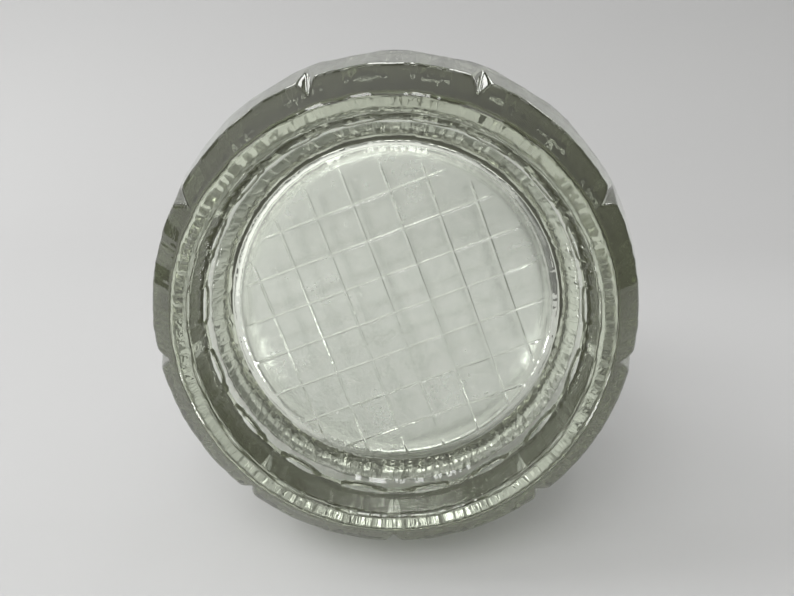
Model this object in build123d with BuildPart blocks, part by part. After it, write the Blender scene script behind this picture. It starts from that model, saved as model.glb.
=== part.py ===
from build123d import *
import math
import os

# Disinfectant jar: a heavy pressed-glass jar on a scalloped foot, with a stainless lid
# and a lifter (rod, knob and tray) that slides through the lid.
# Origin: on the jar's axis, in the plane that the foot stands on. +Z up, millimetres.
# Angles run from -Y, where one lobe of the foot has its middle.

# Repeats round the jar
LOBES = 9
FLUTES = 18
LOBE_STEP = 360 / LOBES
FLUTE_STEP = 360 / FLUTES
FRONT = -90

# Foot
RING_R = 75.0
RING_LOW_Z = 33.0
RING_HIGH_Z = 40.0
LOBE_CORNER_R = 66.2
LOBE_CORNER_Z = 8.0
STAND_OUTER_R = 58.0
STAND_INNER_R = 53.4
RECESS_Z = 15.5
RECESS_R = 52.8
RECESS_ROUND = 5.5
NOTCH_R = 62.6
NOTCH_Z = 6.0
NOTCH_HALF_WIDTH = 5.0
NOTCH_DEPTH = 3.0
NOTCH_TOP_Z = 31.0
THUMB_BALL_R = 17.0
THUMB_DEPTH = 3.4

# Waffle pattern pressed into the underside
WAFFLE_R = 43.0
WAFFLE_PITCH = 10.8
WAFFLE_WIDTH = 0.9
WAFFLE_DEPTH = 0.5
WAFFLE_TURN = -20.5

# Body, collar and cavity
BODY_R = 57.0
WAIST_Z = 92.0
COLLAR_R = 60.0
COLLAR_LOW_Z = 210.0
JAR_H = 228.0
FLOOR_Z = 29.0
CAVITY_R = 50.0
CAVITY_ROUND = 6.0
MOUTH_R = 50.6
MOUTH_LOW_Z = 220.0
FLUTE_BALL_R = 14.0
FLUTE_DEPTH = 1.5
FLUTE_LOW_Z = 104.0
FLUTE_HIGH_Z = 194.0

# Lid
SHEET = 0.8
GASKET_T = 2.0
GASKET_INNER_R = 51.2
GASKET_OUTER_R = 57.0
FLANGE_Z = JAR_H + GASKET_T
RIM_R = 62.6
RIM_LOW_Z = 220.0
RIM_BEAD_R = 1.2
DOME_R = 49.0
DOME_RISE = 20.0
DOME_FLAT_R = 15.0
LID_TOP_Z = FLANGE_Z + SHEET + DOME_RISE
SKIRT_R = 49.0
SKIRT_LOW_Z = 219.0
SKIRT_FLANGE_R = 50.8

# Rod and its guide in the lid
ROD_R = 4.0
ROD_CLEARANCE = 0.05
STUD_R = 3.0
BUSH_R = 6.0
BUSH_FLANGE_R = 10.0
BUSH_FLANGE_T = 2.5
BUSH_LOW_Z = 241.0
SEAL_R = 0.7
SEAL_Z = LID_TOP_Z - 4.0
WASHER_T = 0.8
NUT_T = 4.0
BUSH_NUT_R = 10.5

# Tray
TRAY_Z = 33.2
TRAY_T = 1.2
TRAY_R = 48.0
HOOP_T = 0.9
HOOP_LOW_Z = 32.2
HOOP_HIGH_Z = 41.0
DRAINS = 12
HUB_R = 9.0
HUB_H = 12.0
HUB_FOOT_H = 4.0
HUB_TAPER = 18
HUB_NUT_R = 5.8
TRAY_TOP_Z = TRAY_Z + TRAY_T
DRAIN_R = 1.6
DRAIN_Z = TRAY_TOP_Z + DRAIN_R + 0.4

# Knob and stop
ROD_LOW_Z = TRAY_TOP_Z + HUB_H
BUSH_TOP_Z = LID_TOP_Z + WASHER_T + BUSH_FLANGE_T
ROD_HIGH_Z = BUSH_TOP_Z + 2.0
KNOB_Z = ROD_HIGH_Z + NUT_T + WASHER_T
KNOB_R = 16.0
KNOB_H = 29.0
KNOB_NUT_R = 7.0
KNOB_WASHER_R = 9.5
INSERT_R = 5.0
INSERT_H = 14.0
LIFT = 160.0
STOP_R = 8.0
STOP_H = 8.0
STOP_Z = BUSH_LOW_Z - LIFT - STOP_H - 0.3
SCREW_R = 1.6
SCREW_SOCKET_R = 0.85

os.makedirs("parts", exist_ok=True)


def save(builder, name):
    builder.part.label = name
    export_step(builder.part, f"parts/{name}.step")


# ---- glass jar ----

# One notch cutter: a V in plan with rounded shoulders. It leans outward, so the notch is
# deepest at the foot's lower edge and runs out just below the ring.
notch_lean = (RING_R - NOTCH_R) / (NOTCH_TOP_Z - NOTCH_Z)
with BuildPart() as notch_cutter:
    with BuildSketch(Plane.XY.offset(-1)):
        with BuildLine():
            tip = (NOTCH_R - notch_lean * (NOTCH_Z + 1), 0)
            side_r = tip[0] + NOTCH_DEPTH
            bend_r = tip[0] + 0.72 * NOTCH_DEPTH
            bend_y = 0.36 * NOTCH_HALF_WIDTH
            ThreePointArc(tip, (bend_r, bend_y), (side_r, NOTCH_HALF_WIDTH))
            Polyline(
                (side_r, NOTCH_HALF_WIDTH),
                (side_r + 14, NOTCH_HALF_WIDTH),
                (side_r + 14, -NOTCH_HALF_WIDTH),
                (side_r, -NOTCH_HALF_WIDTH),
            )
            ThreePointArc((side_r, -NOTCH_HALF_WIDTH), (bend_r, -bend_y), tip)
        make_face()
    extrude(amount=NOTCH_TOP_Z + 3, dir=Vector(notch_lean, 0, 1))

# One flute cutter for the body: a round-ended bar.
with BuildPart() as flute_cutter:
    with BuildSketch(Plane.XY.offset(FLUTE_LOW_Z)):
        Circle(FLUTE_BALL_R)
    extrude(amount=FLUTE_HIGH_Z - FLUTE_LOW_Z)
    with Locations((0, 0, FLUTE_LOW_Z), (0, 0, FLUTE_HIGH_Z)):
        Sphere(FLUTE_BALL_R)

with BuildPart() as glass_jar:
    with BuildSketch(Plane.XZ):
        with BuildLine():
            outline = [
                (0, RECESS_Z),
                (RECESS_R, RECESS_Z),
                (STAND_INNER_R, 0),
                (STAND_OUTER_R, 0),
                (LOBE_CORNER_R, LOBE_CORNER_Z),
                (RING_R, RING_LOW_Z),
                (RING_R, RING_HIGH_Z),
                (BODY_R + 1.5, WAIST_Z - 8),
                (BODY_R, WAIST_Z + 24),
                (BODY_R, COLLAR_LOW_Z - 6),
                (COLLAR_R, COLLAR_LOW_Z),
                (COLLAR_R, JAR_H),
                (0, JAR_H),
            ]
            rounds = [RECESS_ROUND, 1.6, 3, 5, 7, 7, 60, 20, 5, 2, 1.5]
            FilletPolyline(*outline, radius=rounds)
            Line((0, JAR_H), (0, RECESS_Z))
        make_face()
    revolve(axis=Axis.Z)
    with BuildSketch(Plane.XZ):
        with BuildLine():
            hollow = [
                (0, FLOOR_Z),
                (CAVITY_R, FLOOR_Z),
                (CAVITY_R, MOUTH_LOW_Z),
                (MOUTH_R, JAR_H + 1),
            ]
            FilletPolyline(*hollow, radius=[CAVITY_ROUND, 4])
            Line((MOUTH_R, JAR_H + 1), (0, JAR_H + 1))
            Line((0, JAR_H + 1), (0, FLOOR_Z))
        make_face()
    revolve(axis=Axis.Z, mode=Mode.SUBTRACT)
    ring_mid_z = (RING_LOW_Z + RING_HIGH_Z) / 2
    with Locations((0, 0, ring_mid_z)):
        with PolarLocations(
            RING_R - THUMB_DEPTH + THUMB_BALL_R, FLUTES, start_angle=FRONT + FLUTE_STEP / 2
        ):
            Sphere(THUMB_BALL_R, mode=Mode.SUBTRACT)
    with PolarLocations(
        BODY_R - FLUTE_DEPTH + FLUTE_BALL_R, FLUTES, start_angle=FRONT + FLUTE_STEP / 2
    ):
        add(flute_cutter.part, mode=Mode.SUBTRACT)
    with PolarLocations(0, LOBES, start_angle=FRONT + LOBE_STEP / 2):
        add(notch_cutter.part, mode=Mode.SUBTRACT)
    with BuildSketch(Plane.XY.offset(RECESS_Z)):
        lines_each_way = 2 * math.floor(WAFFLE_R / WAFFLE_PITCH) + 1
        with Locations(Rotation(0, 0, WAFFLE_TURN)):
            with GridLocations(WAFFLE_PITCH, 0, lines_each_way, 1):
                Rectangle(WAFFLE_WIDTH, 2 * WAFFLE_R)
            with GridLocations(0, WAFFLE_PITCH, 1, lines_each_way):
                Rectangle(2 * WAFFLE_R, WAFFLE_WIDTH)
        Circle(WAFFLE_R, mode=Mode.INTERSECT)
    extrude(amount=WAFFLE_DEPTH, mode=Mode.SUBTRACT)
save(glass_jar, "glass_jar")


# ---- lid ----

# Spun stainless shell: flat boss at the centre, dome, flange over the gasket, and a rim
# turned down outside the collar that ends in a rolled bead.
with BuildPart() as lid_shell:
    with BuildSketch(Plane.XZ):
        with BuildLine() as sheet_line:
            sheet_path = [
                (BUSH_R + 0.1, LID_TOP_Z),
                (DOME_FLAT_R, LID_TOP_Z),
                (DOME_R * 0.78, LID_TOP_Z - DOME_RISE * 0.3),
                (DOME_R, FLANGE_Z + SHEET),
                (RIM_R, FLANGE_Z + SHEET),
                (RIM_R, RIM_LOW_Z),
            ]
            FilletPolyline(*sheet_path, radius=[8, 12, 3, 2.2])
            offset(amount=SHEET, side=Side.RIGHT)
        make_face()
        with Locations((RIM_R - SHEET / 2, RIM_LOW_Z)):
            Circle(RIM_BEAD_R)
    revolve(axis=Axis.Z)
save(lid_shell, "lid_shell")

with BuildPart() as lid_skirt:
    with BuildSketch(Plane.XZ):
        with BuildLine():
            Polyline(
                (SKIRT_R - SHEET, SKIRT_LOW_Z),
                (SKIRT_R, SKIRT_LOW_Z),
                (SKIRT_R, FLANGE_Z - SHEET),
                (SKIRT_FLANGE_R, FLANGE_Z - SHEET),
                (SKIRT_FLANGE_R, FLANGE_Z),
                (SKIRT_R - SHEET, FLANGE_Z),
                close=True,
            )
        make_face()
    revolve(axis=Axis.Z)
save(lid_skirt, "lid_skirt")

with BuildPart() as lid_gasket:
    with BuildSketch(Plane.XY.offset(JAR_H)):
        Circle(GASKET_OUTER_R)
        Circle(GASKET_INNER_R, mode=Mode.SUBTRACT)
    extrude(amount=GASKET_T)
    fillet(lid_gasket.edges().filter_by(GeomType.CIRCLE), 0.3)
save(lid_gasket, "lid_gasket")

# Nylon bush: a flanged sleeve through the lid, with a groove for the rod's wiper seal.
with BuildPart() as rod_bushing:
    with BuildSketch(Plane.XZ):
        with BuildLine():
            bore = ROD_R + ROD_CLEARANCE
            Polyline(
                (bore, BUSH_LOW_Z),
                (BUSH_R, BUSH_LOW_Z),
                (BUSH_R, LID_TOP_Z + WASHER_T),
                (BUSH_FLANGE_R, LID_TOP_Z + WASHER_T),
                (BUSH_FLANGE_R, BUSH_TOP_Z - 1),
                (BUSH_FLANGE_R - 1, BUSH_TOP_Z),
                (bore, BUSH_TOP_Z),
                (bore, SEAL_Z + SEAL_R),
                (bore + 2 * SEAL_R, SEAL_Z + SEAL_R),
                (bore + 2 * SEAL_R, SEAL_Z - SEAL_R),
                (bore, SEAL_Z - SEAL_R),
                close=True,
            )
        make_face()
    revolve(axis=Axis.Z)
save(rod_bushing, "rod_bushing")

with BuildPart() as rod_seal:
    with BuildSketch(Plane.XZ):
        with Locations((ROD_R + ROD_CLEARANCE + SEAL_R, SEAL_Z)):
            Circle(SEAL_R - 0.02)
    revolve(axis=Axis.Z)
save(rod_seal, "rod_seal")

with BuildPart() as bushing_washer:
    with BuildSketch(Plane.XY.offset(LID_TOP_Z)):
        Circle(BUSH_FLANGE_R + 1.5)
        Circle(BUSH_R, mode=Mode.SUBTRACT)
    extrude(amount=WASHER_T)
save(bushing_washer, "bushing_washer")

with BuildPart() as bushing_nut:
    with BuildSketch(Plane.XY.offset(LID_TOP_Z - SHEET - NUT_T)):
        RegularPolygon(BUSH_NUT_R, 6)
        Circle(BUSH_R, mode=Mode.SUBTRACT)
    extrude(amount=NUT_T)
    chamfer(bushing_nut.faces().sort_by(Axis.Z)[0].outer_wire().edges(), 0.5)
save(bushing_nut, "bushing_nut")


# ---- lifter ----

with BuildPart() as lifter_rod:
    with BuildSketch(Plane.XY.offset(ROD_LOW_Z)):
        Circle(ROD_R)
    extrude(amount=ROD_HIGH_Z - ROD_LOW_Z)
    with BuildSketch(Plane.XY.offset(ROD_LOW_Z - HUB_H + 2)):
        Circle(STUD_R)
    extrude(amount=ROD_HIGH_Z - ROD_LOW_Z + HUB_H + 16)
    chamfer(lifter_rod.faces().sort_by(Axis.Z)[-1].edges(), 0.5)
    chamfer(lifter_rod.faces().sort_by(Axis.Z)[0].edges(), 0.5)
save(lifter_rod, "lifter_rod")

with BuildPart() as stop_collar:
    with BuildSketch(Plane.XY.offset(STOP_Z)):
        Circle(STOP_R)
        Circle(ROD_R, mode=Mode.SUBTRACT)
    extrude(amount=STOP_H)
    chamfer(stop_collar.faces().filter_by(GeomType.PLANE).edges().sort_by(SortBy.RADIUS)[-2:], 0.6)
    with BuildSketch(Plane.XZ.offset(-STOP_R - 1)):
        with Locations((0, STOP_Z + STOP_H / 2)):
            Circle(SCREW_R)
    extrude(amount=STOP_R + 1 - ROD_R, mode=Mode.SUBTRACT)
save(stop_collar, "stop_collar")

# Grub screw with a hex socket, flush with the collar.
with BuildPart() as stop_screw:
    with BuildSketch(Plane.XZ.offset(-ROD_R - 0.1)):
        with Locations((0, STOP_Z + STOP_H / 2)):
            Circle(SCREW_R - 0.05)
    extrude(amount=-(STOP_R - ROD_R - 0.6))
    with BuildSketch(Plane.XZ.offset(-STOP_R + 0.5)):
        with Locations((0, STOP_Z + STOP_H / 2)):
            RegularPolygon(SCREW_SOCKET_R, 6)
    extrude(amount=1.6, mode=Mode.SUBTRACT)
save(stop_screw, "stop_screw")

with BuildPart() as tray_plate:
    with BuildSketch(Plane.XY.offset(TRAY_Z)):
        Circle(TRAY_R)
    extrude(amount=TRAY_T)
save(tray_plate, "tray_plate")

# Hoop round the plate, with a row of drain holes just above it and a rolled upper edge.
with BuildPart() as tray_hoop:
    with BuildSketch(Plane.XZ):
        with BuildLine():
            Polyline(
                (TRAY_R, HOOP_LOW_Z),
                (TRAY_R + HOOP_T, HOOP_LOW_Z + 0.4),
                (TRAY_R + HOOP_T, HOOP_HIGH_Z),
                (TRAY_R, HOOP_HIGH_Z),
                close=True,
            )
        make_face()
        with Locations((TRAY_R + HOOP_T / 2, HOOP_HIGH_Z)):
            Circle(HOOP_T)
    revolve(axis=Axis.Z)
    with Locations((0, 0, DRAIN_Z)):
        with PolarLocations(TRAY_R, DRAINS):
            Cylinder(DRAIN_R, 4 * HOOP_T, rotation=(0, 90, 0), mode=Mode.SUBTRACT)
save(tray_hoop, "tray_hoop")

with BuildPart() as tray_hub:
    with BuildSketch(Plane.XY.offset(TRAY_TOP_Z)):
        Circle(HUB_R)
    extrude(amount=HUB_FOOT_H)
    with BuildSketch(Plane.XY.offset(TRAY_TOP_Z + HUB_FOOT_H)):
        Circle(HUB_R)
    extrude(amount=HUB_H - NUT_T - HUB_FOOT_H, taper=HUB_TAPER)
    with BuildSketch(Plane.XY.offset(TRAY_TOP_Z + 1.5)):
        Circle(STUD_R)
    extrude(amount=HUB_H, mode=Mode.SUBTRACT)
save(tray_hub, "tray_hub")

with BuildPart() as hub_jam_nut:
    with BuildSketch(Plane.XY.offset(ROD_LOW_Z - NUT_T)):
        RegularPolygon(HUB_NUT_R, 6)
        Circle(STUD_R, mode=Mode.SUBTRACT)
    extrude(amount=NUT_T)
save(hub_jam_nut, "hub_jam_nut")

with BuildPart() as knob_jam_nut:
    with BuildSketch(Plane.XY.offset(ROD_HIGH_Z)):
        RegularPolygon(KNOB_NUT_R, 6)
        Circle(STUD_R, mode=Mode.SUBTRACT)
    extrude(amount=NUT_T)
save(knob_jam_nut, "knob_jam_nut")

with BuildPart() as knob_washer:
    with BuildSketch(Plane.XY.offset(KNOB_Z - WASHER_T)):
        Circle(KNOB_WASHER_R)
        Circle(STUD_R, mode=Mode.SUBTRACT)
    extrude(amount=WASHER_T)
save(knob_washer, "knob_washer")

# Moulded ball knob with a flat underside, and the brass insert moulded into it.
with BuildPart() as knob:
    with Locations((0, 0, KNOB_Z + KNOB_H - KNOB_R)):
        Sphere(KNOB_R)
    split(bisect_by=Plane.XY.offset(KNOB_Z), keep=Keep.TOP)
    fillet(knob.faces().sort_by(Axis.Z)[0].edges(), 1.0)
    with BuildSketch(Plane.XY.offset(KNOB_Z)):
        Circle(INSERT_R)
    extrude(amount=INSERT_H, mode=Mode.SUBTRACT)
save(knob, "knob")

with BuildPart() as knob_insert:
    with BuildSketch(Plane.XY.offset(KNOB_Z)):
        Circle(INSERT_R)
        Circle(STUD_R, mode=Mode.SUBTRACT)
    extrude(amount=INSERT_H)
save(knob_insert, "knob_insert")
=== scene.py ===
import math

import bpy
import numpy as np
from mathutils import Matrix, Vector
from mathutils.geometry import delaunay_2d_cdt


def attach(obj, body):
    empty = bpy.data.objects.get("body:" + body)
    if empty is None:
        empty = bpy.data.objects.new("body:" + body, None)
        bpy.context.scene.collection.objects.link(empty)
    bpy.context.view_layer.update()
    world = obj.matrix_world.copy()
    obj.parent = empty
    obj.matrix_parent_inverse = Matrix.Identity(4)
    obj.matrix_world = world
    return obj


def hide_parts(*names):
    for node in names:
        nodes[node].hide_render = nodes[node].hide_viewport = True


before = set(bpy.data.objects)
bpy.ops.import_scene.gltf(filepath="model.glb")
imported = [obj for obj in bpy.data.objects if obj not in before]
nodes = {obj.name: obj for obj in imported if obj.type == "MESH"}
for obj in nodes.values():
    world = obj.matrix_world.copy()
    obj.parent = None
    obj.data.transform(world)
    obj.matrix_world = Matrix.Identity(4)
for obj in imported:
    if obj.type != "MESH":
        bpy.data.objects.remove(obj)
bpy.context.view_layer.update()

# Sizes below are in millimetres, as in the CAD, and become metres in make_mesh().
MM = 0.001

# Repeats round the jar. Angles run from -Y, where one lobe of the foot has its middle.
LOBES = 9
FLUTES = 18
FRONT = math.radians(-90)
SEGMENTS = 720
PATCH_ROWS = 4

# Foot
RING_R = 75.0
RING_LOW_Z = 33.0
RING_HIGH_Z = 40.0
LOBE_CORNER_R = 66.2
LOBE_CORNER_Z = 8.0
STAND_OUTER_R = 58.0
STAND_INNER_R = 53.4
RECESS_Z = 15.5
RECESS_R = 52.8
RECESS_ROUND = 5.5
NOTCH_R = 62.6
NOTCH_BASE_Z = 6.0
NOTCH_DEPTH = 3.0
NOTCH_HALF_WIDTH = 5.0
NOTCH_TOP_Z = 31.0
THUMB_BALL_R = 17.0
THUMB_DEPTH = 3.4

# Waffle pattern
PATCH_R = 44.0
WAFFLE_R = 43.0
WAFFLE_PITCH = 10.8
WAFFLE_WIDTH = 0.9
WAFFLE_DEPTH = 0.5
WAFFLE_TURN = math.radians(-20.5)

# Body, collar and cavity
BODY_R = 57.0
WAIST_Z = 92.0
COLLAR_R = 60.0
COLLAR_LOW_Z = 210.0
JAR_H = 228.0
FLOOR_Z = 29.0
CAVITY_R = 50.0
CAVITY_ROUND = 6.0
FLUTE_BALL_R = 14.0
FLUTE_DEPTH = 1.5
FLUTE_LOW_Z = 104.0
FLUTE_HIGH_Z = 194.0
FLOOR_RING_R = 30.0

# Creases in the glass are rounded over CREASE. FAR is a radius past every surface.
CREASE = 0.3
FAR = 1000.0

# Mould streaks: how many waves are added up, and how steep they are together
STREAKS = 28
STREAK_SLOPE = 0.10


# ---- mesh helpers ----

def rounded_path(points, radii, step, arc_step=math.radians(9)):
    """The outline through the points, with each corner rounded, as an array of places."""
    points = [np.array(p, float) for p in points]
    out = [points[0]]

    def run_to(end, spacing):
        start = out[-1]
        count = max(1, math.ceil(np.linalg.norm(end - start) / spacing))
        for i in range(1, count + 1):
            out.append(start + (end - start) * i / count)

    for before, corner, after, radius in zip(points, points[1:], points[2:], radii):
        u = (before - corner) / np.linalg.norm(before - corner)
        v = (after - corner) / np.linalg.norm(after - corner)
        half = math.acos(float(np.clip(u @ v, -1, 1))) / 2
        reach = radius / math.tan(half)
        run_to(corner + u * reach, step)
        centre = corner + (u + v) / np.linalg.norm(u + v) * radius / math.sin(half)
        spoke = out[-1] - centre
        turn = math.pi - 2 * half
        if u[0] * v[1] - u[1] * v[0] > 0:
            turn = -turn
        count = max(4, math.ceil(abs(turn) / arc_step))
        for i in range(1, count + 1):
            c, s = math.cos(turn * i / count), math.sin(turn * i / count)
            out.append(centre + np.array([c * spoke[0] - s * spoke[1], s * spoke[0] + c * spoke[1]]))
    run_to(points[-1], step)
    return np.array(out)


def soft_min(a, b, width):
    """The smaller of two fields, with the crease between them rounded."""
    h = np.clip(0.5 + 0.5 * (b - a) / width, 0, 1)
    return b + (a - b) * h - width * h * (1 - h)


def make_mesh(name, places, faces, material, body):
    mesh = bpy.data.meshes.new(name)
    mesh.from_pydata((np.asarray(places) * MM).tolist(), [], faces)
    mesh.polygons.foreach_set("use_smooth", [True] * len(mesh.polygons))
    mesh.update()
    piece = bpy.data.objects.new(name, mesh)
    bpy.context.scene.collection.objects.link(piece)
    mesh.materials.append(material)
    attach(piece, body)
    return piece


def band_faces(rows, segments, first):
    """Quads between rings of vertices that follow each other in the list."""
    faces = []
    for row in range(rows - 1):
        a = first + row * segments
        b = a + segments
        for i in range(segments):
            j = (i + 1) % segments
            faces.append((a + i, a + j, b + j, b + i))
    return faces


def disc_patch(ring, inner_points, height, first, ring_first, face_up):
    """Fills a flat ring of vertices with a net that has a vertex at each inner point."""
    plan = [Vector((float(x), float(y))) for x, y in list(ring) + list(inner_points)]
    count = len(ring)
    edges = [(i, (i + 1) % count) for i in range(count)]
    _, _, tris, source, _, _ = delaunay_2d_cdt(plan, edges, [list(range(count))], 1, 1e-5)
    keep = [s[0] for s in source]
    number = {}
    for out_index, plan_index in enumerate(keep):
        on_ring = plan_index < count
        number[out_index] = ring_first + plan_index if on_ring else first + plan_index - count
    faces = []
    for tri in tris:
        a, b, c = (number[i] for i in tri)
        faces.append((a, b, c) if face_up else (a, c, b))
    inner = np.array(inner_points)
    places = np.column_stack([inner, height(inner[:, 0], inner[:, 1])])
    return places, faces


# ---- glass jar ----

ANGLES = FRONT + np.arange(SEGMENTS) * 2 * math.pi / SEGMENTS


def off_centre(angle, count):
    """Angle to the nearest of the middles that lie half a step off the front."""
    step = 2 * math.pi / count
    return (angle - FRONT) % step - step / 2


def glass_radius(r, z):
    """The outer radius at a height, with notches, thumbprints and flutes taken out."""
    r = np.repeat(r[:, None], SEGMENTS, 1)
    z = np.repeat(z[:, None], SEGMENTS, 1)
    lean = (RING_R - NOTCH_R) / (NOTCH_TOP_Z - NOTCH_BASE_Z)
    angle = off_centre(ANGLES, LOBES)[None, :]
    reach = np.clip(np.abs(angle) * LOBE_CORNER_R / NOTCH_HALF_WIDTH, 0, 1)
    shoulder = NOTCH_DEPTH * (1 - (1 - reach) ** 2.2)
    notch = NOTCH_R + lean * (z - NOTCH_BASE_Z) + shoulder + np.where(reach >= 1, 50.0, 0.0)
    notch = np.where(z < NOTCH_TOP_Z + 6, notch, FAR)
    r = np.minimum(r, notch)
    angle = off_centre(ANGLES, FLUTES)[None, :]
    ball_r = RING_R - THUMB_DEPTH + THUMB_BALL_R
    ring_mid_z = (RING_LOW_Z + RING_HIGH_Z) / 2
    inside = THUMB_BALL_R**2 - (z - ring_mid_z) ** 2 - (ball_r * np.sin(angle)) ** 2
    thumb = np.where(inside > 0, ball_r * np.cos(angle) - np.sqrt(np.maximum(inside, 0)), FAR)
    r = np.where(thumb < FAR, soft_min(r, np.minimum(thumb, 200), CREASE), r)
    bar_r = BODY_R - FLUTE_DEPTH + FLUTE_BALL_R
    past_end = np.maximum(0, np.maximum(FLUTE_LOW_Z - z, z - FLUTE_HIGH_Z))
    inside = FLUTE_BALL_R**2 - past_end**2 - (bar_r * np.sin(angle)) ** 2
    flute = np.where(inside > 0, bar_r * np.cos(angle) - np.sqrt(np.maximum(inside, 0)), FAR)
    return np.where(flute < FAR, soft_min(r, np.minimum(flute, 200), CREASE), r)


def mould_streaks(z):
    """Faint upright streaks and rings that the mould leaves on the glass, in millimetres."""
    draw = np.random.default_rng(7)
    z = z[:, None]
    streaks = np.zeros((len(z), SEGMENTS))
    for _ in range(STREAKS):
        count = int(draw.integers(24, 170))
        phase, drift = draw.uniform(0, 2 * math.pi), draw.uniform(-0.06, 0.06)
        fade = 0.5 + 0.5 * np.cos(z * draw.uniform(0.03, 0.16) + draw.uniform(0, 2 * math.pi))
        streaks += fade * np.cos(count * ANGLES[None, :] + phase + drift * z) / count
    streaks *= STREAK_SLOPE * RING_R / math.sqrt(STREAKS)
    return streaks - streaks.max()


def ring_places(radius, z):
    x = radius * np.cos(ANGLES)[None, :]
    y = radius * np.sin(ANGLES)[None, :]
    heights = np.broadcast_to(z[:, None], x.shape)
    return np.stack([x, y, heights], -1).reshape(-1, 3)


def waffle_lines():
    """Coordinates across the waffle: close together over each groove, wide between."""
    reach = math.floor(PATCH_R / WAFFLE_PITCH)
    half = WAFFLE_WIDTH / 2
    across = [-1.5 * half, -half, -0.8 * half, -0.4 * half, 0, 0.4 * half, 0.8 * half, half, 1.5 * half]
    lines = []
    for k in range(-reach - 1, reach + 1):
        lines += [k * WAFFLE_PITCH + a for a in across]
        gap = WAFFLE_PITCH - 3 * half
        lines += [k * WAFFLE_PITCH + 1.5 * half + gap * i / 6 for i in range(1, 6)]
    return np.array(lines)


def waffle_height(x, y):
    c, s = math.cos(-WAFFLE_TURN), math.sin(-WAFFLE_TURN)
    u, v = c * x - s * y, s * x + c * y
    fade = np.clip((WAFFLE_R - 0.4 - np.hypot(x, y)) / 1.2, 0, 1)

    def groove(w):
        off = np.abs((w + WAFFLE_PITCH / 2) % WAFFLE_PITCH - WAFFLE_PITCH / 2)
        return np.clip(1 - off / (WAFFLE_WIDTH / 2), 0, 1)

    return RECESS_Z + WAFFLE_DEPTH * fade * np.maximum(groove(u), groove(v))


def glass_jar(material):
    outline = [
        (PATCH_R, RECESS_Z),
        (RECESS_R, RECESS_Z),
        (STAND_INNER_R, 0),
        (STAND_OUTER_R, 0),
        (LOBE_CORNER_R, LOBE_CORNER_Z),
        (RING_R, RING_LOW_Z),
        (RING_R, RING_HIGH_Z),
        (BODY_R + 1.5, WAIST_Z - 8),
        (BODY_R, WAIST_Z + 24),
        (BODY_R, COLLAR_LOW_Z - 6),
        (COLLAR_R, COLLAR_LOW_Z),
        (COLLAR_R, JAR_H),
        (CAVITY_R + 0.5, JAR_H),
        (CAVITY_R, JAR_H - 8),
        (CAVITY_R, FLOOR_Z),
        (FLOOR_RING_R, FLOOR_Z),
    ]
    rounds = [RECESS_ROUND, 1.6, 3, 5, 7, 7, 60, 20, 5, 2, 1.5, 2.0, 4, CAVITY_ROUND]
    path = rounded_path(outline, rounds, 1.2)
    outside = int(np.argmax(path[:, 1] >= JAR_H - 1.6)) + 1
    radius = np.repeat(path[:, :1], SEGMENTS, 1)
    radius[:outside] = glass_radius(path[:outside, 0], path[:outside, 1])
    radius[PATCH_ROWS:] += mould_streaks(path[PATCH_ROWS:, 1])
    places = ring_places(radius, path[:, 1])
    faces = band_faces(len(path), SEGMENTS, 0)
    lines = waffle_lines()
    u, v = (a.ravel() for a in np.meshgrid(lines, lines))
    c, s = math.cos(WAFFLE_TURN), math.sin(WAFFLE_TURN)
    plan = np.column_stack([c * u - s * v, s * u + c * v])
    plan = plan[np.hypot(plan[:, 0], plan[:, 1]) < WAFFLE_R - 0.2]
    for rim_r in (WAFFLE_R, WAFFLE_R + 0.5):
        plan = np.vstack([plan, rim_r * np.column_stack([np.cos(ANGLES[::2]), np.sin(ANGLES[::2])])])
    ring = places[:SEGMENTS, :2]
    under, under_faces = disc_patch(ring, plan, waffle_height, len(places), 0, False)
    places = np.vstack([places, under])
    last = (len(path) - 1) * SEGMENTS
    net_r = FLOOR_RING_R - 1
    grid = np.arange(-net_r, FLOOR_RING_R, 2.0)
    u, v = (a.ravel() for a in np.meshgrid(grid, grid))
    plan = np.column_stack([u, v])[np.hypot(u, v) < net_r]
    ring = places[last:last + SEGMENTS, :2]
    floor, floor_faces = disc_patch(
        ring, plan, lambda x, y: np.full_like(x, FLOOR_Z), len(places), last, True
    )
    places = np.vstack([places, floor])
    faces = faces + under_faces + floor_faces
    piece = make_mesh("glass_jar_pressed", places, faces, material, "jar")
    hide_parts("glass_jar")


# ---- materials ----

def new_material(name):
    material = bpy.data.materials.new(name)
    material.use_nodes = True
    tree = material.node_tree
    tree.nodes.clear()
    return material, tree


# The chilled patch on the underside, in metres, and how much deeper its dimples are.
CHILL_CENTRE = Vector((-10, 20, RECESS_Z)) * MM
CHILL_R = 24 * MM
CHILL_DEPTH = 30.0

# A glow inside the glass. Real glass has none: it stands in for the long light paths along the
# thick wall that the renderer's bounce limit drops.
STRAY_COLOUR = (1.0, 1.0, 0.78)
STRAY_LEVEL = 0.42


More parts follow.
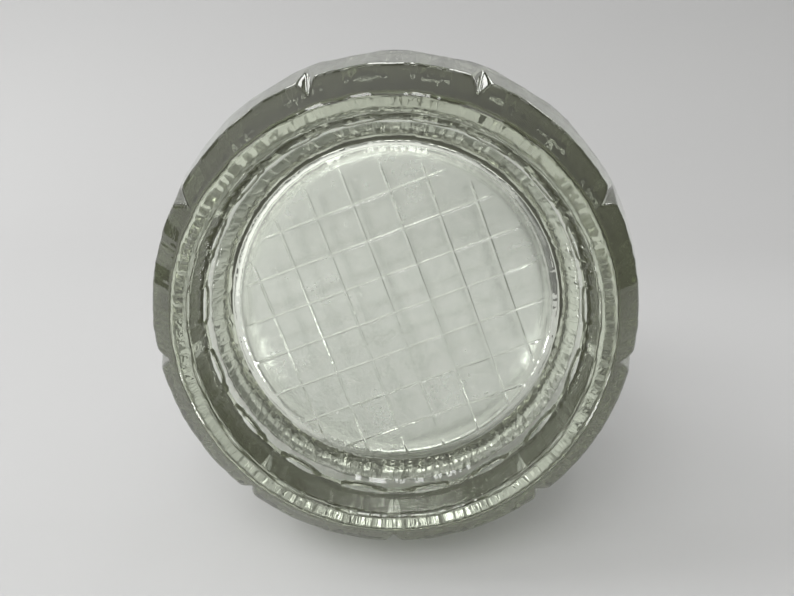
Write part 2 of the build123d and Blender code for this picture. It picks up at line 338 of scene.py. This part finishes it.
def glass_material():
    material, tree = new_material("pressed_glass")
    out = tree.nodes.new("ShaderNodeOutputMaterial")
    shader = tree.nodes.new("ShaderNodeBsdfPrincipled")
    shader.inputs["Base Color"].default_value = (0.97, 0.985, 0.97, 1)
    shader.inputs["Roughness"].default_value = 0.0
    shader.inputs["IOR"].default_value = 1.51
    shader.inputs["Transmission Weight"].default_value = 1.0
    volume = tree.nodes.new("ShaderNodeVolumeAbsorption")
    volume.inputs["Color"].default_value = (0.82, 0.855, 0.73, 1)
    volume.inputs["Density"].default_value = 15.0
    where = tree.nodes.new("ShaderNodeTexCoord").outputs["Object"]
    peel = tree.nodes.new("ShaderNodeTexNoise")
    peel.inputs["Scale"].default_value = 260
    peel.inputs["Detail"].default_value = 2
    tree.links.new(where, peel.inputs["Vector"])
    # A chilled patch of the underside is dimpled like orange peel.
    dimples = tree.nodes.new("ShaderNodeTexNoise")
    dimples.inputs["Scale"].default_value = 620
    dimples.inputs["Detail"].default_value = 1
    tree.links.new(where, dimples.inputs["Vector"])
    reach = tree.nodes.new("ShaderNodeVectorMath")
    reach.operation = "DISTANCE"
    reach.inputs[1].default_value = CHILL_CENTRE
    tree.links.new(where, reach.inputs[0])
    patch = tree.nodes.new("ShaderNodeMapRange")
    patch.inputs["From Min"].default_value = 0.3 * CHILL_R
    patch.inputs["From Max"].default_value = CHILL_R
    patch.inputs["To Min"].default_value = CHILL_DEPTH
    patch.inputs["To Max"].default_value = 0
    tree.links.new(reach.outputs["Value"], patch.inputs["Value"])
    height = tree.nodes.new("ShaderNodeMath")
    height.operation = "MULTIPLY_ADD"
    tree.links.new(dimples.outputs["Fac"], height.inputs[0])
    tree.links.new(patch.outputs["Result"], height.inputs[1])
    tree.links.new(peel.outputs["Fac"], height.inputs[2])
    bump = tree.nodes.new("ShaderNodeBump")
    bump.inputs["Strength"].default_value = 0.12
    bump.inputs["Distance"].default_value = 0.0004
    tree.links.new(height.outputs["Value"], bump.inputs["Height"])
    tree.links.new(bump.outputs["Normal"], shader.inputs["Normal"])
    tree.links.new(shader.outputs["BSDF"], out.inputs["Surface"])
    stray = tree.nodes.new("ShaderNodeEmission")
    stray.inputs["Color"].default_value = (*STRAY_COLOUR, 1)
    stray.inputs["Strength"].default_value = STRAY_LEVEL
    both = tree.nodes.new("ShaderNodeAddShader")
    tree.links.new(volume.outputs["Volume"], both.inputs[0])
    tree.links.new(stray.outputs["Emission"], both.inputs[1])
    tree.links.new(both.outputs["Shader"], out.inputs["Volume"])
    return material


# Steel, the painted shade multiplied into the lid's inside (a darker olive-grey tint), and the point in
# metres that its inside looks toward.
STEEL_DARK = (0.66, 0.655, 0.64)
STEEL_LIGHT = (0.80, 0.795, 0.78)
INSIDE_SHADE_TINT = (0.42, 0.43, 0.38)
LID_MIDDLE = Vector((0, 0, 215)) * MM


def surface_material(
    name, dark, light, roughness, metallic, grain, depth, spun=False, coat=0.0, shade_toward=None
):
    """A finish with a fine grain, wider patches of wear, and lines round the axis when it is spun.

    Faces that look toward the given point get painted shade: their colour is multiplied by a darker
    olive-grey tint, while the roughness stays the same.
    """
    material, tree = new_material(name)
    out = tree.nodes.new("ShaderNodeOutputMaterial")
    shader = tree.nodes.new("ShaderNodeBsdfPrincipled")
    shader.inputs["Metallic"].default_value = metallic
    shader.inputs["Coat Weight"].default_value = coat
    where = tree.nodes.new("ShaderNodeTexCoord").outputs["Object"]
    lines = where
    if spun:
        split = tree.nodes.new("ShaderNodeSeparateXYZ")
        tree.links.new(where, split.inputs["Vector"])
        flat = tree.nodes.new("ShaderNodeCombineXYZ")
        tree.links.new(split.outputs["X"], flat.inputs["X"])
        tree.links.new(split.outputs["Y"], flat.inputs["Y"])
        reach = tree.nodes.new("ShaderNodeVectorMath")
        reach.operation = "LENGTH"
        tree.links.new(flat.outputs["Vector"], reach.inputs[0])
        lines = tree.nodes.new("ShaderNodeCombineXYZ")
        tree.links.new(reach.outputs["Value"], lines.inputs["X"])
        tree.links.new(split.outputs["Z"], lines.inputs["Y"])
        lines = lines.outputs["Vector"]
    fine = tree.nodes.new("ShaderNodeTexNoise")
    fine.inputs["Scale"].default_value = grain
    fine.inputs["Detail"].default_value = 4
    tree.links.new(lines, fine.inputs["Vector"])
    wear = tree.nodes.new("ShaderNodeTexNoise")
    wear.inputs["Scale"].default_value = 45
    wear.inputs["Detail"].default_value = 6
    tree.links.new(where, wear.inputs["Vector"])
    both = tree.nodes.new("ShaderNodeMix")
    both.inputs["Factor"].default_value = 0.55
    tree.links.new(fine.outputs["Fac"], both.inputs["A"])
    tree.links.new(wear.outputs["Fac"], both.inputs["B"])
    colour = tree.nodes.new("ShaderNodeValToRGB")
    colour.color_ramp.elements[0].position = 0.3
    colour.color_ramp.elements[0].color = (*dark, 1)
    colour.color_ramp.elements[1].position = 0.7
    colour.color_ramp.elements[1].color = (*light, 1)
    tree.links.new(both.outputs["Result"], colour.inputs["Fac"])
    base = colour.outputs["Color"]
    # Painted shade: faces that look toward the given point are darkened by a multiplied olive-grey tint.
    if shade_toward is not None:
        toward = tree.nodes.new("ShaderNodeVectorMath")
        toward.operation = "SUBTRACT"
        toward.inputs[0].default_value = shade_toward
        tree.links.new(where, toward.inputs[1])
        facing = tree.nodes.new("ShaderNodeVectorMath")
        facing.operation = "DOT_PRODUCT"
        tree.links.new(tree.nodes["Texture Coordinate"].outputs["Normal"], facing.inputs[0])
        tree.links.new(toward.outputs["Vector"], facing.inputs[1])
        inside = tree.nodes.new("ShaderNodeMapRange")
        inside.inputs["From Max"].default_value = 0.002
        tree.links.new(facing.outputs["Value"], inside.inputs["Value"])
        painted_inside_shade = tree.nodes.new("ShaderNodeMix")
        painted_inside_shade.data_type = "RGBA"
        painted_inside_shade.blend_type = "MULTIPLY"
        painted_inside_shade.inputs["B"].default_value = (*INSIDE_SHADE_TINT, 1)
        tree.links.new(inside.outputs["Result"], painted_inside_shade.inputs["Factor"])
        tree.links.new(base, painted_inside_shade.inputs["A"])
        base = painted_inside_shade.outputs["Result"]
    tree.links.new(base, shader.inputs["Base Color"])
    gloss = tree.nodes.new("ShaderNodeMapRange")
    gloss.inputs["From Min"].default_value = 0.3
    gloss.inputs["From Max"].default_value = 0.7
    gloss.inputs["To Min"].default_value, gloss.inputs["To Max"].default_value = roughness
    tree.links.new(both.outputs["Result"], gloss.inputs["Value"])
    tree.links.new(gloss.outputs["Result"], shader.inputs["Roughness"])
    bump = tree.nodes.new("ShaderNodeBump")
    bump.inputs["Strength"].default_value = 0.35
    bump.inputs["Distance"].default_value = depth
    tree.links.new(fine.outputs["Fac"], bump.inputs["Height"])
    tree.links.new(bump.outputs["Normal"], shader.inputs["Normal"])
    tree.links.new(shader.outputs["BSDF"], out.inputs["Surface"])
    return material


def node_materials():
    steel = (STEEL_DARK, STEEL_LIGHT)
    polished = surface_material("steel_polished", *steel, (0.07, 0.2), 1, 900, 2e-5, spun=True)
    # The lid shell gets painted shade on its inside, a darker tint on faces that look toward LID_MIDDLE.
    shell = surface_material(
        "steel_polished_shaded_inside", *steel, (0.07, 0.2), 1, 900, 2e-5, spun=True, shade_toward=LID_MIDDLE
    )
    satin = surface_material("steel_satin", *steel, (0.24, 0.4), 1, 1400, 4e-5, spun=True)
    tray = surface_material(
        "tray_steel", (0.84, 0.845, 0.83), (0.93, 0.93, 0.92), (0.2, 0.3), 1, 300, 4e-6
    )
    black = surface_material(
        "steel_black_oxide", (0.02, 0.02, 0.022), (0.05, 0.05, 0.055), (0.35, 0.55), 0.9, 900, 3e-5
    )
    silicone = surface_material(
        "silicone", (0.70, 0.73, 0.68), (0.80, 0.82, 0.78), (0.45, 0.65), 0, 600, 4e-5
    )
    nylon = surface_material(
        "nylon", (0.70, 0.67, 0.58), (0.80, 0.78, 0.70), (0.35, 0.5), 0, 500, 3e-5
    )
    phenolic = surface_material(
        "phenolic", (0.006, 0.006, 0.007), (0.016, 0.015, 0.016), (0.08, 0.28), 0, 300, 3e-5, coat=0.4
    )
    brass = surface_material(
        "brass", (0.60, 0.42, 0.17), (0.80, 0.60, 0.29), (0.18, 0.38), 1, 1200, 4e-5, spun=True
    )
    return {
        "lid_shell": shell, "lifter_rod": polished, "knob_washer": polished,
        "lid_skirt": satin, "bushing_washer": satin, "bushing_nut": satin, "stop_collar": satin,
        "tray_hub": satin, "hub_jam_nut": satin, "knob_jam_nut": satin,
        "tray_plate": tray, "tray_hoop": tray, "stop_screw": black,
        "lid_gasket": silicone, "rod_seal": silicone, "rod_bushing": nylon,
        "knob": phenolic, "knob_insert": brass,
    }


# ---- camera ----

# The camera lies close under the foot and looks up along the jar. In the camera's own axes the
# jar's axis points along JAR_AXIS, and the point on it at height AIM_Z is at CAMERA_TO_AIM.
CAMERA_LENS = 27.0
CAMERA_TO_AIM = Vector((-1.05, -6.42, -157.8)) * MM
JAR_AXIS = Vector((0.022, 0.176, -0.984)).normalized()
AIM_Z = 4.0 * MM


def add_camera():
    data = bpy.data.cameras.new("camera")
    data.lens = CAMERA_LENS
    data.sensor_width = 36
    data.clip_start = 0.005
    camera = bpy.data.objects.new("camera", data)
    bpy.context.scene.collection.objects.link(camera)
    right = Vector((1, 0, 0))
    right = (right - right.dot(JAR_AXIS) * JAR_AXIS).normalized()
    row_to_camera = Matrix((right, JAR_AXIS.cross(right), JAR_AXIS)).transposed()
    camera_to_row = row_to_camera.transposed()
    place = Vector((0, 0, AIM_Z)) - camera_to_row @ CAMERA_TO_AIM
    camera.matrix_world = Matrix.Translation(place) @ camera_to_row.to_4x4()
    bpy.context.scene.camera = camera


# ---- stage and light ----

# Brightness of the room by elevation in degrees, how much it grows toward a bright side, how far
# round from that side the windows reach in degrees, and the rows of windows. A row has its lowest
# and highest elevation, the width of a pane with its gap, the pane's share, and the bright and dark level.
ROOM_LEVELS = [(-90, 0.6), (8, 0.6), (20, 0.22), (90, 0.18)]
BRIGHT_SIDE = Vector((-0.75, -0.6, 0))
WINDOW_REACH = 100
WINDOW_ROWS = [
    ((-70, -30), 26, 0.5, 1.7, 0.2),
    ((17, 36), 11, 0.45, 0.8, 0.1),
    ((44, 72), 24, 0.4, 3.0, 0.01),
]
SWEEP_COLOUR = (0.51, 0.51, 0.51)
FLOOR_COLOUR = (0.62, 0.62, 0.61)
FLOOR_GLOW = 0.4
FLOOR_TOP_Z = -0.05


def stage_material(name, colour):
    """Matt paper that is clear from behind."""
    material, tree = new_material(name)
    out = tree.nodes.new("ShaderNodeOutputMaterial")
    shader = tree.nodes.new("ShaderNodeBsdfPrincipled")
    shader.inputs["Base Color"].default_value = (*colour, 1)
    shader.inputs["Roughness"].default_value = 0.9
    clear = tree.nodes.new("ShaderNodeBsdfTransparent")
    mix = tree.nodes.new("ShaderNodeMixShader")
    side = tree.nodes.new("ShaderNodeNewGeometry")
    tree.links.new(side.outputs["Backfacing"], mix.inputs["Fac"])
    tree.links.new(shader.outputs["BSDF"], mix.inputs[1])
    tree.links.new(clear.outputs["BSDF"], mix.inputs[2])
    tree.links.new(mix.outputs["Shader"], out.inputs["Surface"])
    return material


def stage_sheet(name, places, faces, material):
    mesh = bpy.data.meshes.new(name)
    mesh.from_pydata((np.array(places) * MM).tolist(), [], faces)
    mesh.polygons.foreach_set("use_smooth", [True] * len(mesh.polygons))
    mesh.materials.append(material)
    sheet = bpy.data.objects.new(name, mesh)
    bpy.context.scene.collection.objects.link(sheet)
    return sheet


def add_stage():
    # The sweep: a sheet behind the jar that nearly touches foot and lid, then curves forward far above.
    profile = rounded_path(
        [(76.5, -900), (75.3, 36), (10, 1150), (-900, 1400)],
        [200, 700], 80, math.radians(6),
    )
    half = 1150
    places = [(x, y, z) for x in (-half, half) for y, z in profile]
    count = len(profile)
    faces = [(i, count + i, count + i + 1, i + 1) for i in range(count - 1)]
    sweep = stage_sheet("sweep", places, faces, stage_material("sweep_paper", SWEEP_COLOUR))
    sweep.visible_diffuse = False
    sweep.visible_shadow = False
    # The floor is seen from above only, and not through or in the glass, so the underside stays clear.
    half = 3000
    corners = [(-half, -half), (half, -half), (half, half), (-half, half)]
    places = [(x, y, FLOOR_TOP_Z) for x, y in corners]
    paper = stage_material("floor_paper", FLOOR_COLOUR)
    paper.node_tree.nodes["Principled BSDF"].inputs["Emission Strength"].default_value = FLOOR_GLOW
    floor = stage_sheet("floor", places, [(0, 1, 2, 3)], paper)
    floor.visible_diffuse = False
    floor.visible_glossy = False
    floor.visible_transmission = False
    floor.visible_shadow = False


def add_area(name, place, target, size, power):
    data = bpy.data.lights.new(name, "AREA")
    data.shape = "RECTANGLE"
    data.size, data.size_y = size
    data.energy = power
    light = bpy.data.objects.new(name, data)
    bpy.context.scene.collection.objects.link(light)
    light.location = place
    aim = Vector(target) - Vector(place)
    light.rotation_euler = aim.to_track_quat("-Z", "Y").to_euler()
    return light


def add_world():
    """Pale room below and at the horizon, dim above, with rows of windows round the bright side."""
    world = bpy.data.worlds.new("studio")
    bpy.context.scene.world = world
    world.use_nodes = True
    tree = world.node_tree
    tree.nodes.clear()

    def math_node(operation, a, b=0.0, c=0.0):
        node = tree.nodes.new("ShaderNodeMath")
        node.operation = operation
        for socket, value in zip(node.inputs, (a, b, c)):
            if isinstance(value, (int, float)):
                socket.default_value = value
            else:
                tree.links.new(value, socket)
        return node.outputs[0]

    def blend(amount, low, high):
        return math_node("MULTIPLY_ADD", amount, math_node("SUBTRACT", high, low), low)

    out = tree.nodes.new("ShaderNodeOutputWorld")
    back = tree.nodes.new("ShaderNodeBackground")
    where = tree.nodes.new("ShaderNodeTexCoord")
    split = tree.nodes.new("ShaderNodeSeparateXYZ")
    ramp = tree.nodes.new("ShaderNodeValToRGB")
    tree.links.new(where.outputs["Generated"], split.inputs["Vector"])
    x, y, z = split.outputs
    for _ in range(len(ROOM_LEVELS) - 2):
        ramp.color_ramp.elements.new(0.5)
    for stop, (elevation, level) in zip(ramp.color_ramp.elements, ROOM_LEVELS):
        stop.position = (math.sin(math.radians(elevation)) + 1) / 2
        stop.color = (level, level, level, 1)
    tree.links.new(math_node("MULTIPLY_ADD", z, 0.5, 0.5), ramp.inputs["Fac"])
    turn = math.atan2(-BRIGHT_SIDE.x, -BRIGHT_SIDE.y)
    azimuth = math_node("ARCTAN2", x, math_node("MULTIPLY", y, -1.0))
    azimuth = math_node("WRAP", math_node("ADD", azimuth, turn), math.pi, -math.pi)
    facing = math_node("LESS_THAN", math_node("ABSOLUTE", azimuth), math.radians(WINDOW_REACH))
    elevation = math_node("ARCSINE", z)
    room = tree.nodes.new("ShaderNodeRGBToBW")
    tree.links.new(ramp.outputs["Color"], room.inputs["Color"])
    side = tree.nodes.new("ShaderNodeVectorMath")
    side.operation = "DOT_PRODUCT"
    side.inputs[1].default_value = BRIGHT_SIDE
    tree.links.new(where.outputs["Generated"], side.inputs[0])
    level = math_node("MULTIPLY", room.outputs["Val"], math_node("ADD", side.outputs["Value"], 1.0))
    plain = math_node("ADD", math_node("MULTIPLY", level, 0.4), 0.4)
    for (low, high), step, share, bright, dark in WINDOW_ROWS:
        in_row = math_node("MULTIPLY", math_node("GREATER_THAN", elevation, math.radians(low)),
                           math_node("LESS_THAN", elevation, math.radians(high)))
        place = math_node("FRACT", math_node("MULTIPLY_ADD", azimuth, 1 / math.radians(step), 0.25))
        pane = math_node("MULTIPLY", math_node("LESS_THAN", place, share), facing)
        level = blend(in_row, level, blend(pane, dark, bright))
    # The windows light the glass and show in it, and the open room behind stays plain.
    seen = tree.nodes.new("ShaderNodeLightPath").outputs["Is Camera Ray"]
    tree.links.new(blend(seen, level, plain), back.inputs["Strength"])
    tree.links.new(back.outputs["Background"], out.inputs["Surface"])
    back.inputs["Color"].default_value = (1, 1, 0.985, 1)


bpy.context.scene.view_settings.view_transform = "Standard"
add_camera()
add_stage()
add_world()
soft = add_area("soft_left", (-1.4, -0.9, 0.2), (0, 0, 0.1), (1.2, 1.2), 13)
soft.visible_glossy = False
soft.visible_transmission = False
for strip in range(3):
    add_area(f"window_{strip}", (-0.5 + 0.3 * strip, -1.0, -0.9), (0, 0, 0), (0.14, 0.7), 3)
# Weak lamps just below the plane of the floor, on both sides of the foot, for highlights in the glass.
CARD_Z = -0.027
for strip in (-3, -2, 2, 3):
    x = 0.06 * strip
    add_area(f"card_{strip + 3}", (x, 0.072, CARD_Z), (x, 0, CARD_Z), (0.026, 0.024), 0.02)

glass_jar(glass_material())
for name, material in node_materials().items():
    nodes[name].data.materials.clear()
    nodes[name].data.materials.append(material)
